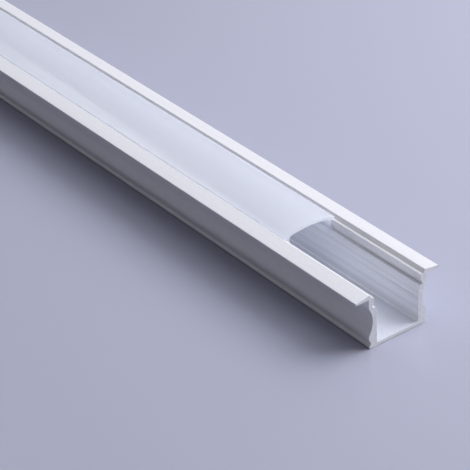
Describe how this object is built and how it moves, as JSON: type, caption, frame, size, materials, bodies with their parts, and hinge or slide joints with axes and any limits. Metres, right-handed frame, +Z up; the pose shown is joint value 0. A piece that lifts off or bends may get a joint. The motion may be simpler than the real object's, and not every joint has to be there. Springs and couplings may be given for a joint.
{
  "type": "led strip aluminium profile",
  "caption": "Recessed aluminium channel for LED strip, with drooping flanges and an arched opal cover that snaps and slides between its lips.",
  "frame": {"origin": "middle of the channel's underside, halfway along the channel and on its middle plane", "axes": "+Y along the profile, away from the end where the cover is set back; +Z up, out of the open side; +X across"},
  "size_m": [0.0244, 0.3315, 0.0152],
  "materials": {
    "anodised_aluminium": "clear satin anodised, drawn lengthwise, with sawn ends",
    "opal_plastic": "opal, smooth, lets diffuse light through"
  },
  "bodies": {
    "channel": {"aluminium_channel": "anodised_aluminium"},
    "diffuser": {"diffuser_cover": "opal_plastic"}
  },
  "joints": [
    {"name": "diffuser_slide", "type": "slide", "parent": "channel", "child": "diffuser", "axis": [0, 1, 0], "range_m": [-0.0315, 0.2385]}
  ]
}
